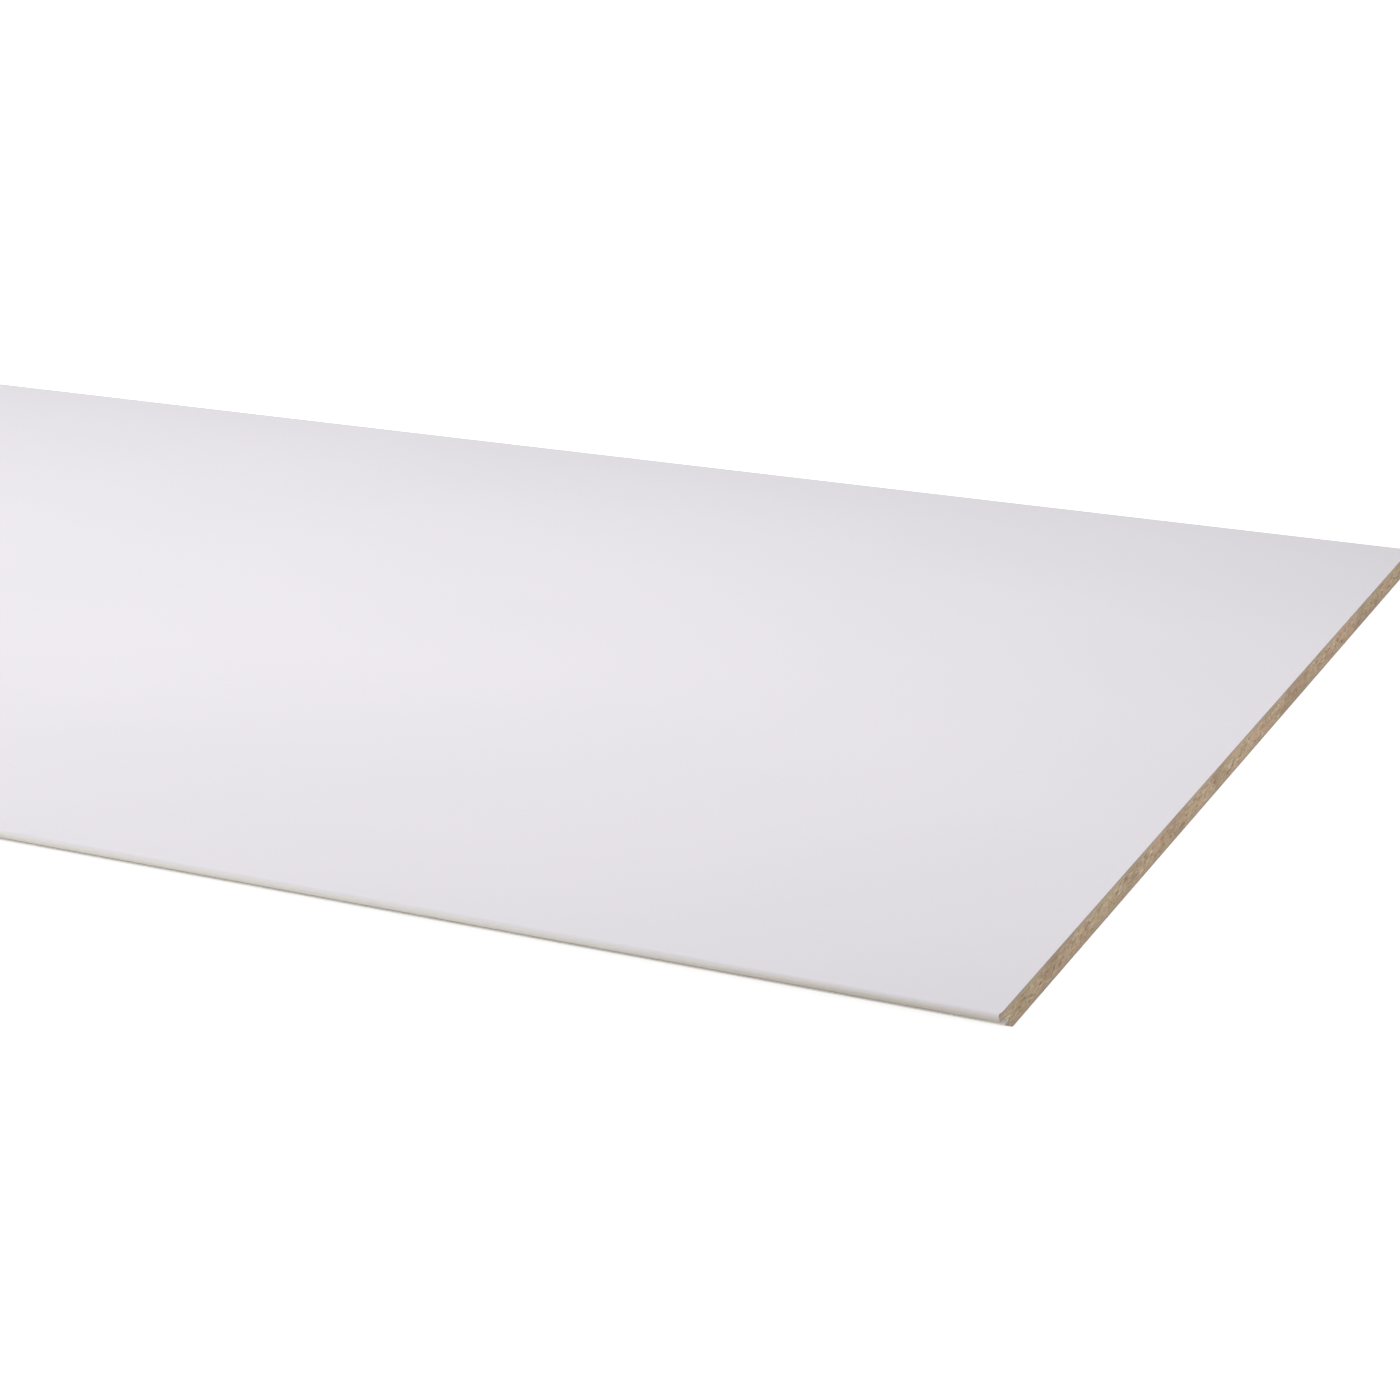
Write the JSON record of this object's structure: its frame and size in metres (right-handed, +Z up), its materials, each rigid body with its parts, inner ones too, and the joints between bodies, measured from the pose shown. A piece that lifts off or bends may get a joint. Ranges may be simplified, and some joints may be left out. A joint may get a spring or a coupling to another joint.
{
  "type": "tongue and groove wall panel",
  "caption": "Long flat wall panel of white-faced chipboard with square sawn ends, a wedge groove milled into one long edge and a matching tongue on the other, for lining a room.",
  "frame": {"origin": "middle of the back, over the whole width with the tongue", "axes": "+X along the length, +Y across from the groove edge to the tongue edge, +Z up through the thickness, out of the white face"},
  "size_m": [2.4, 0.6086, 0.01],
  "materials": {
    "faced_chipboard": "satin white face on pale brown chipboard"
  },
  "bodies": {
    "root": {"wall_panel": "faced_chipboard"}
  },
  "joints": []
}
